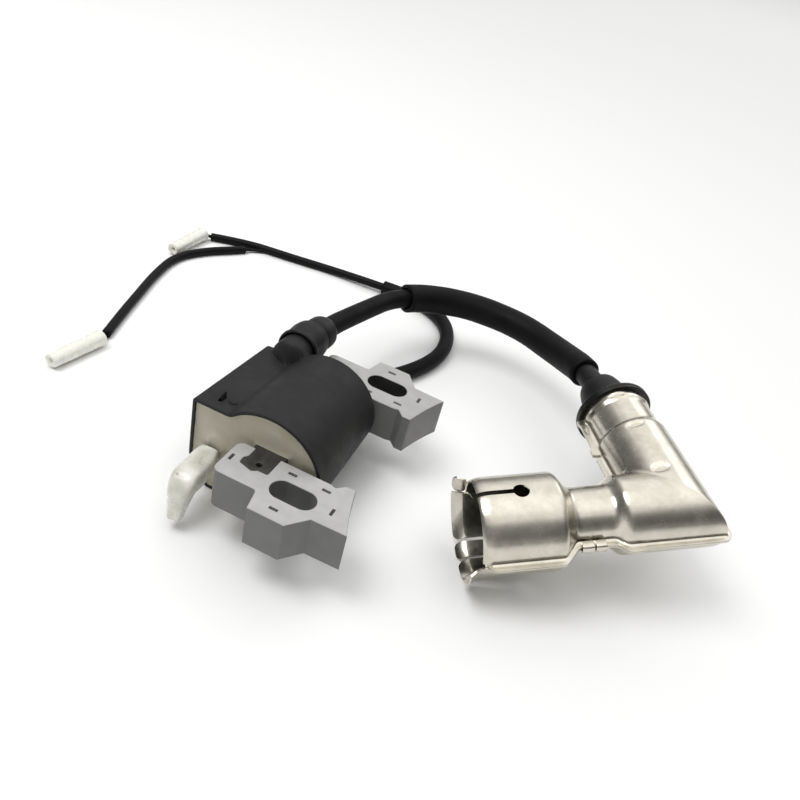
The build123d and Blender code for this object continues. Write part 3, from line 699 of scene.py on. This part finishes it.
def shield_rows(side, barrel, first):
    """Rows of points over one half: side is 1 for the upper half and -1 for the lower."""

    def row(lean, extra, height=None):
        """From the mouth to the arm's end. lean is 1 on the outer seam and -1 on the inner one.

        extra is the share of the flange's width. height is the least height over the seam; without one the
        row lies flat in the flange.
        """
        crown = sqrt(max(0.0, 1 - lean * lean))

        def off_by(r, outer, inner):
            return r * lean + (outer * extra if lean > 0 else -inner * extra)

        def lift(r, relief=0.0):
            return sheet * side if height is None else max(r * crown + relief, height) * side

        def streak(station):
            return 0.00003 * noise.noise(Vector((lean * 9, station * 12, 1.5)))

        def barrel_point(s):
            r = barrel(s)
            off = off_by(r, outer_flange(s), inner_flange(s))
            return mouth + barrel_dir * s - cap_left * off + cap_up * lift(r, streak(s))

        def middle_point(s):
            return mouth + barrel_dir * s - cap_left * corner_off + cap_up * lift(arm_r)

        def arm_point(t):
            r = arm_profile(t)
            off = off_by(r, arm_outer_flange(t), arm_inner_flange(t))
            if side > 0:
                r -= dimple(t, r * (acos(lean) - pi / 2))
            return elbow + arm_dir * t + arm_out * off + cap_up * lift(r, streak(t + 0.1))

        start = first(lean)
        corner_off = off_by(arm_r, 0.0015, 0.0021)
        radius = 0.0005 + 0.0012 * smoothstep(0.0, 1.0, -lean) + 0.0022 * extra * (lean > 0)
        tangent = radius * mitre_slope
        last = elbow_at + mitre_slope * corner_off - tangent
        stop = min(barrel_stop, last)
        points = [barrel_point(start + (near_mouth - start) * (i / 12)) for i in range(13)]
        for i in range(1, 63):
            points.append(barrel_point(min(near_mouth + (barrel_stop - near_mouth) * i / 62, stop)))
        for i in range(1, 14):
            points.append(middle_point(stop + (last - stop) * i / 14))
        for i in range(7):
            a = bend * i / 6
            points.append(middle_point(last) + (barrel_dir * sin(a) + cap_left * (1 - cos(a))) * radius)
        t_corner = -mitre_slope * corner_off + tangent
        begin_t = max(arm_start, t_corner)
        for i in range(1, 20):
            t = t_corner + (begin_t - t_corner) * i / 20
            points.append(elbow + arm_dir * t + arm_out * corner_off + cap_up * lift(arm_r)
                          - cap_up * (side > 0) * dimple(t, arm_r * (acos(lean) - pi / 2)))
        for i in range(53):
            points.append(arm_point(max(arm_start + (arm_end - arm_start) * i / 52, t_corner)))
        return points

    shares = (1.0, 0.55, 0.18)
    rows = [row(1.0, share) for share in shares]
    rows.append(row(1.0, 0.0, sheet + seam_lift))
    rows += [row(cos(seam_angle + (pi - 2 * seam_angle) * i / 96), 0.0, sheet) for i in range(97)]
    rows.append(row(-1.0, 0.0, sheet + seam_lift))
    return rows + [row(-1.0, share) for share in reversed(shares)]


def slit_cutter(angle, start, width):
    """The solid that cuts one keyhole slit; its angle is counted from the crown."""
    end, hole_r = 0.0124, 0.0023
    out = Matrix.Rotation(radians(angle), 3, barrel_dir) @ cap_up
    across = out.cross(barrel_dir)
    lean = asin(width / 2 / hole_r)
    outline = [(start, -width / 2)]
    outline += [(end - hole_r * cos(a), -hole_r * sin(a)) for a in np.linspace(lean, 2 * pi - lean, 40)]
    outline.append((start, width / 2))
    rows = [[mouth + barrel_dir * s + across * w + out * height for s, w in outline]
            for height in (0.0075, 0.0195)]
    return solid_mesh("slit", rows)


def shield_half(name, node, side, barrel, first, slit_angles, slit_start, slit_width):
    """One stamped half. first tells where it starts at the mouth, for a lean."""
    mesh = grid(name, shield_rows(side, barrel, first), around=False)
    tidy_mesh(mesh)
    work = bmesh.new()
    work.from_mesh(mesh)
    top = max(work.faces, key=lambda f: f.calc_center_median().dot(cap_up) * side)
    if top.normal.dot(cap_up) * side < 0:
        bmesh.ops.reverse_faces(work, faces=work.faces)
    work.to_mesh(mesh)
    work.free()
    obj = add_piece(name, mesh, "plug_cap", "shield_nickel", (node,))
    # painted shade: the sheet's inner faces get the darker nickel
    mesh.materials.append(materials["shield_inside_painted_shade"])
    thick = solidified(obj, sheet * 0.9, -1.0)
    thick.material_offset = 1
    thick.use_even_offset = True
    for angle in slit_angles:
        cut_out(obj, slit_cutter(angle, slit_start, slit_width), 35)
    # the claws past the mouth lose the painted shade
    for face in obj.data.polygons:
        if (face.center - mouth).dot(barrel_dir) < painted_shade_stop:
            face.material_index = 0
    shade(obj.data, 38)
    return obj


def make_shield():
    def claw_end(lean):
        """The lower half's end, with round corners on its four claws."""
        angle = degrees(acos(lean))
        edges = (0, 58, 62, 88, 92, 113, 117, 180)
        near = min(abs(angle - e) for e in edges) * radians(1) * 0.015
        corner = 0.0016
        return -claw_reach + (corner - sqrt(max(0.0, corner ** 2 - max(0.0, corner - near) ** 2)))

    upper = shield_half("shield_top_half", "shield_upper", 1, upper_barrel, lambda lean: 0.0,
                        (0,), -0.003, 0.0015)
    lower = shield_half("shield_bottom_half", "shield_lower", -1, lower_barrel, claw_end,
                        (180, 150, -155), -0.008, 0.0009)
    return upper, lower


def sheet_piece(name, rows, thickness, offset, edge):
    """A small piece of sheet through rows of points, with broken edges."""
    mesh = grid(name, rows, around=False)
    tidy_mesh(mesh)
    obj = add_piece(name, mesh, "plug_cap", "shield_nickel")
    solidified(obj, thickness, offset)
    bevelled(obj, edge)
    freeze(obj)
    return obj


def make_ear():
    """The lower half's round ear, turned out at the far seam of the mouth."""
    middle, half_long, half_wide = -0.0014, 0.0021, 13       # metres from the mouth, metres, degrees
    roundness = 2.6
    rows = []
    for i in range(15):
        u = -1 + 2 * i / 14
        half = max(0.05, 1 - abs(u) ** roundness) ** (1 / roundness)
        station = middle + half_long * u
        r = 0.0146 + 0.0013 * smoothstep(0.5, -1.0, u)
        row = []
        for j in range(15):
            angle = radians(280 + half_wide * ((-1 + 2 * j / 14) * half))
            row.append(mouth + barrel_dir * station + cap_up * (r * cos(angle)) - cap_left * (r * sin(angle)))
        rows.append(row)
    return sheet_piece("shield_ear", rows, 0.0005, 0.0, 0.0001)


def make_tabs():
    """The lower half's tabs, folded over the upper half's flange."""
    made = []
    section = rounded([(0.0008, -0.0007), (0.0024, -0.0007), (0.0026, 0.0), (0.0024, 0.00125),
                       (0.0006, 0.00125)], 0.0004)
    for i, (start, stop) in enumerate(((0.0286, 0.0318), (0.0325, 0.0354))):
        rows = []
        for s in (start, start + 0.0002, stop - 0.0002, stop):
            grown = 0.0 if s in (start, stop) else 0.0001
            rows.append([mouth + barrel_dir * s - cap_left * (neck_r + off + grown) + cap_up * z
                         for off, z in section])
        made.append(sheet_piece(f"shield_tab_{i + 1}", rows, 0.00045, 1.0, 0.00012))
    return [*made, make_ear()]


# ---------------------------------------- coil case
case_x, axis_z = -0.0042, 0.018
case_front, case_back = -0.020, 0.019
centre = Vector((-0.012, 0.018))             # (x, z) that the outline is drawn round
wall = 0.0011
flat_top = 0.0306                            # the flat top's height near the front
vent_x, vent_y = -0.0224, -0.0150


def case_section(y):
    """The case's outline at one distance along it, as (angle, radius) about its centre."""
    back = (y - case_front) / (case_back - case_front)
    r = 0.018 + (0.0166 - 0.018) * back
    left = -0.0288 + 0.0008 * back
    top = 0.0307 - 0.0019 * back
    dip = (case_x - sqrt(r ** 2 - (top - axis_z) ** 2), top)
    foot_angle = radians(-105)
    foot = (case_x + r * cos(foot_angle), axis_z + r * sin(foot_angle))
    to_dip = 2 * pi - (pi - acos((case_x - dip[0]) / r)) + foot_angle
    sweep = 2 * pi - to_dip
    arc = [(case_x + r * cos(foot_angle + sweep * i / 90), axis_z + r * sin(foot_angle + sweep * i / 90))
           for i in range(91)]
    corners = arc + [(left, top), (left, 0.0097), (-0.0224, 0.0), (-0.012, 0.0), foot]
    line = np.array(corners)
    steps = np.linalg.norm(np.diff(line, axis=0), axis=1)
    reach = np.concatenate([[0], np.cumsum(steps)])
    even = np.linspace(0, reach[-1], 900, endpoint=False)
    line = np.stack([np.interp(even, reach, line[:, k]) for k in (0, 1)], 1)
    spread = 0.0007 / (reach[-1] / 900)
    kernel = np.exp(-0.5 * (np.arange(-18, 19) / spread) ** 2)
    kernel /= kernel.sum()
    soft = np.stack([np.convolve(np.concatenate([line[-18:, k], line[:, k], line[:18, k]]), kernel, "valid")
                     for k in (0, 1)], 1)
    away = soft - np.array(centre)
    angle, radius = np.arctan2(away[:, 1], away[:, 0]), np.hypot(away[:, 0], away[:, 1])
    order = np.argsort(angle)
    return angle[order], radius[order]


def tower_bump(angles, radius):
    """How far a tower of that radius reaches from the case's centre, at each angle."""
    offset = np.array([tower_x, tower_z]) - np.array(centre)
    along = np.cos(angles) * offset[0] + np.sin(angles) * offset[1]
    across = -np.sin(angles) * offset[0] + np.cos(angles) * offset[1]
    inside = radius ** 2 - across ** 2
    reach = along + np.sqrt(np.maximum(inside, 0))
    return np.where(inside > 0, reach, along - 4 * np.sqrt(np.maximum(-inside, 0)))


def case_ring(y, inset=0.0, count=420, tower=None):
    """The outline with its tower as a ring of points, set in by that much."""
    angles = np.linspace(-pi, pi, count, endpoint=False)
    known, radius = case_section(y)
    base = np.interp(angles, known, radius, period=2 * pi)
    if tower is None:
        tower = tower_r * smoothstep(tower_nose, tower_full, y) ** 0.7
    if tower > 0.0002:
        bump = tower_bump(angles, tower)
        blend = 0.0010
        base = blend * np.logaddexp(base / blend, bump / blend)
    x, z = centre.x + base * np.cos(angles), centre.y + base * np.sin(angles)
    if inset:
        dx, dz = np.roll(x, -1) - np.roll(x, 1), np.roll(z, -1) - np.roll(z, 1)
        size = np.hypot(dx, dz)
        x, z = x - inset * dz / size, z + inset * dx / size
    return [Vector((a, y, b)) for a, b in zip(x, z)]


def make_case():
    """The case with its tower and what is moulded on it, and the kill lead's grommet."""
    rows = [case_ring(case_front + 0.0030, wall + 0.0001), case_ring(case_front + 0.0002, wall),
            case_ring(case_front, wall - 0.0002), case_ring(case_front, 0.00022),
            case_ring(case_front + 0.00022, 0.0)]
    count = 64
    end = case_back - 0.0008
    rows += [case_ring(case_front + 0.0006 + (end - case_front - 0.0006) * i / count)
             for i in range(count + 1)]
    rows += [case_ring(case_back - 0.0008 * (1 - sin(a)), 0.0008 * (1 - cos(a)))
             for a in (0.5, 1.0, pi / 2)]
    last = rows[-1]
    hub = Vector((centre.x, case_back, centre.y))
    rows += [[hub + (p - hub) * share for p in last] for share in (0.8, 0.5, 0.2, 0.0)]
    mesh = grid("case_shell", rows)
    tidy_mesh(mesh)
    case = add_piece("case_shell", mesh, "coil", "case_plastic", ("coil_case",))
    case_front_features(case)
    outline = rounded([(0.016, 0.0054), (0.018, 0.00575), (tower_end, 0.0057), (tower_end, 0.0036),
                       (0.018, 0.0036)], 0.0004)
    add_grid("case_tower", turned(tower_axis, outline, 56), 40, "coil", "case_plastic")
    outline = rounded([(0.0182, 0.0041), (0.0208, 0.0041), (0.0212, 0.0034), (0.0238, 0.0036),
                       (0.0238, 0.0030), (0.0195, 0.0030)], 0.0004)
    rows = turned(grommet_axis, outline, 40)
    return add_grid("grommet", rows, 40, "coil", "boot_rubber", ("kill_wire_grommet",))


def case_front_features(case):
    """The vent slot cut in the flat top, the round pip beside it and the fin in the slot."""
    rows = []
    for height in (flat_top - 0.0013, flat_top + 0.002):
        wide = 0.0006 + 0.00018 * (height > flat_top)
        row = []
        for a in turn(32):
            along = 0.0010 * (1 if sin(a) > 0 else -1) * (abs(sin(a)) > 0.01)
            row.append((vent_x + wide * cos(a), vent_y + along + wide * sin(a), height))
        rows.append(row)
    cut_out(case, solid_mesh("vent", rows), 40)
    pip_x, pip_y, pip_wide, pip_long = -0.0190, -0.0146, 0.0014, 0.0010
    rows = []
    for share, lift in ((1.25, -0.0002), (1.0, 0.0001), (0.8, 0.00042), (0.5, 0.00058), (0.0, 0.0006)):
        rows.append([Vector((pip_x + pip_wide * share * cos(a), pip_y + pip_long * share * sin(a),
                             flat_top - 0.0001 + lift)) for a in turn(32)])
    add_grid("case_pip", rows, 60, "coil", "case_plastic")
    fin_y = -0.0144
    rows = [[Vector((vent_x + x * thick, fin_y + lean + y * long, flat_top + height)) for x, y in SQUARE]
            for height, thick, long, lean in ((-0.0013, 0.00035, 0.0010, 0.0),
                                              (0.0013, 0.00030, 0.0008, 0.0002),
                                              (0.0017, 0.00018, 0.0005, 0.0003))]
    add_piece("case_fin", solid_mesh("case_fin", rows), "coil", "case_plastic")


def make_resin():
    """The poured face: it creeps up the walls and round what stands in it."""
    limb_low, limb_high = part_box("centre_limb")
    blade, blade_reach = Vector((-0.0204, 0.0174)), 0.0026
    outer = case_ring(case_front, wall - 0.00015, 240, 0.0)
    hub = Vector((centre.x, 0.0, centre.y))
    level = case_front + 0.0011
    rows = []
    for share in [1.0, 0.985, 0.965, 0.94, 0.91] + [0.88 - 0.88 * i / 36 for i in range(37)]:
        row = []
        for p in outer:
            spot = Vector((hub.x + (p.x - hub.x) * share, 0.0, hub.z + (p.z - hub.z) * share))
            rim = (1 - share) * (Vector((p.x, p.z)) - centre).length
            dx = max(limb_low.x - spot.x, spot.x - limb_high.x, 0)
            dz = max(limb_low.z - spot.z, spot.z - limb_high.z, 0)
            limb = sqrt(dx * dx + dz * dz)
            stub = (Vector((spot.x, spot.z)) - blade).length
            rise = 0.0008 * exp(-rim / 0.0006) + 0.0006 * exp(-limb / 0.0008)
            rise += 0.0006 * exp(-max(0, stub - blade_reach) / 0.0008)
            rise += 0.00016 * noise.noise(spot * 160) + 0.00007 * noise.noise(spot * 420)
            spot.y = level - rise
            row.append(spot)
        rows.append(row)
    add_grid("resin_face", rows, 60, "coil", "resin", ("potting_resin",))


# ---------------------------------------- core
slot_x, slot_y = 0.0104, 0.0305              # the rear slot's centre; the front one's has the other sign of y


def in_slot(place):
    """Whether a point is on a mounting slot's wall."""
    return abs(place.x - slot_x) < 0.0070 and abs(abs(place.y) - slot_y) < 0.0038


def make_core():
    """The legs and the limb, from the frame's own meshes, with their edges broken.

    The legs' sides carry a darker copy of the paint as painted shade; the floors of their stake marks and the rear
    slot's wall carry the dark bare lamination as painted shade.
    """
    stack_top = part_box("front_leg")[1].z
    for node, name, width in (("front_leg", "leg_front", 0.00028), ("rear_leg", "leg_rear", 0.00028),
                              ("centre_limb", "limb", 0.00018)):
        mesh = nodes[node].data.copy()
        mesh.name = name
        mesh.materials.clear()
        work = bmesh.new()
        work.from_mesh(mesh)
        bmesh.ops.remove_doubles(work, verts=work.verts, dist=0.000002)
        bmesh.ops.dissolve_limit(work, angle_limit=radians(0.5), verts=work.verts, edges=work.edges)
        work.to_mesh(mesh)
        work.free()
        for attribute in [a.name for a in mesh.attributes if a.name == "custom_normal"]:
            mesh.attributes.remove(mesh.attributes[attribute])
        obj = add_piece(name, mesh, "coil", slot_of[node], (node,))
        bevelled(obj, width, 3, 40)
        freeze(obj, 40)
        if node == "centre_limb":
            continue
        # the second and third slots carry painted shade: dark bare lamination in the stake marks and the rear
        # slot, darker paint on the sides
        obj.data.materials.append(materials["bare_lamination"])
        obj.data.materials.append(materials["core_side_painted_shade"])
        for face in obj.data.polygons:
            # painted shade: the stake marks' floors get the dark bare lamination
            sunk = stack_top - 0.0001 - face.center.z
            if 0 < sunk < 0.0006 and face.normal.z > 0.9:
                face.material_index = 1
            # painted shade: the sides get the darker copy of the paint
            elif abs(face.normal.z) < 0.5:
                # painted shade: the rear slot's wall gets the dark bare lamination
                face.material_index = 1 if node == "rear_leg" and in_slot(face.center) else 2


# ---------------------------------------- connectors and ground terminal
def make_connector(key):
    """A milky sleeve, slightly flat and creased, round the bullet terminal."""
    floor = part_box("connector_sleeve_" + key)[0].z
    route = tail_routes[key]
    heading = (route[-1] - route[-2]).normalized()
    start = route[-1] - heading * 0.0055
    line = Line([start, start + heading * 0.0215])
    seed = 3 if key == "a" else 8

    def wobble(distance, angle):
        flat = 1 - 0.09 * sin(angle) ** 2 * smoothstep(0.001, 0.006, distance) + 0.03 * cos(angle) ** 2
        crease = 0.03 * noise.noise(Vector((distance * 110, cos(angle) + seed, sin(angle))))
        waist = 0.05 * exp(-((distance - 0.0095) / 0.0012) ** 2)
        return flat + crease - waist

    full = 0.00288
    outline = [(0.003, 0.0022), (0.0002, 0.0022), (0.0, 0.0024), (0.0, 0.0027), (0.0003, full)]
    outline += [(0.0003 + 0.0208 * i / 40, full - 0.0002 * smoothstep(0.5, 1.0, i / 40))
                for i in range(1, 41)]
    outline += [(0.0215, 0.00245), (0.0216, 0.0019), (0.0212, 0.0010), (0.0208, 0.0007), (0.0190, 0.0007)]
    mesh = grid("sleeve_" + key, turned(line, outline, 48, wobble))
    lift = floor - min(v.co.z for v in mesh.vertices)
    mesh.transform(Matrix.Translation((0, 0, max(0.0, lift))))
    tidy_mesh(mesh)
    shade(mesh, 50)
    return add_piece("sleeve_" + key, mesh, "coil", "milky_sleeve", ("connector_sleeve_" + key,))


def relax(mesh, times):
    """Eases out the folds on the inside of a sharp bend."""
    work = bmesh.new()
    work.from_mesh(mesh)
    for _ in range(times):
        bmesh.ops.smooth_vert(work, verts=work.verts, factor=0.5,
                              use_axis_x=True, use_axis_y=True, use_axis_z=True)
    work.to_mesh(mesh)
    work.free()


def make_ground_terminal():
    """The bent blade in its loose clear sleeve, pinched at the tip."""
    line = centreline([Vector(p) for p in (
        (-0.0220, -0.0167, 0.0150), (-0.0212, -0.0255, 0.0126), (-0.0213, -0.0320, 0.0130),
        (-0.0208, -0.0348, 0.0108), (-0.0199, -0.0384, 0.0028))])
    end = line.length
    begin, squareness = 0.0028, 7
    size = profile([(begin, 0.0030), (0.0060, 0.0039), (0.0115, 0.0043), (0.0165, 0.0043), (0.0200, 0.0034),
                    (end, 0.0019)])
    outline = [(begin + 0.0010, 0.85), (begin, 0.85), (begin, 1.0)]
    outline += [(begin + (end - 0.0032) * i / 60, 1.0) for i in range(61)]
    outline += [(end, 0.9), (end, 0.7), (end - 0.004, 0.7)]
    rows = []
    for distance, share in outline:
        place, side, up = line.at(distance)
        row = []
        for a in turn(56):
            c, s = cos(a), sin(a)
            crease = 0.02 * noise.noise(Vector((distance * 90, c * 1.3, s * 1.3 + 5)))
            r = share * size(distance) * (1 + crease)
            square = 1 / (abs(c) ** squareness + abs(s) ** squareness) ** (1 / squareness)
            row.append(place + side * (0.93 * c * r * square) + up * (0.82 * s * r * square))
        rows.append(row)
    mesh = grid("ground_sleeve", rows)
    tidy_mesh(mesh)
    relax(mesh, 10)
    shade(mesh, 55)
    add_piece("ground_sleeve", mesh, "coil", "clear_sleeve", ("ground_terminal_sleeve",))
    rows = []
    for i in range(41):
        place, side, up = line.at((end - 0.0022) * i / 40)
        half = 0.0016 if i < 38 else 0.0012
        rows.append([place + side * x * half + up * z * 0.0004 for x, z in SQUARE])
    blade = add_piece("ground_blade", solid_mesh("ground_blade", rows), "coil", "tinned", ("ground_terminal",))
    bevelled(blade, 0.0001)
    freeze(blade)


# ---------------------------------------- the object
stage_camera()
stage_floor()
stage_light()
lead, kill, wire = make_cords()
loom, kill_loom, sheath = make_looms()
tower_boot, cap_boot, ring = make_boots()
shield_top, shield_bottom = make_shield()
tabs = make_tabs()
grommet = make_case()
make_resin()
make_core()
sleeve_a, sleeve_b = make_connector("a"), make_connector("b")
make_ground_terminal()
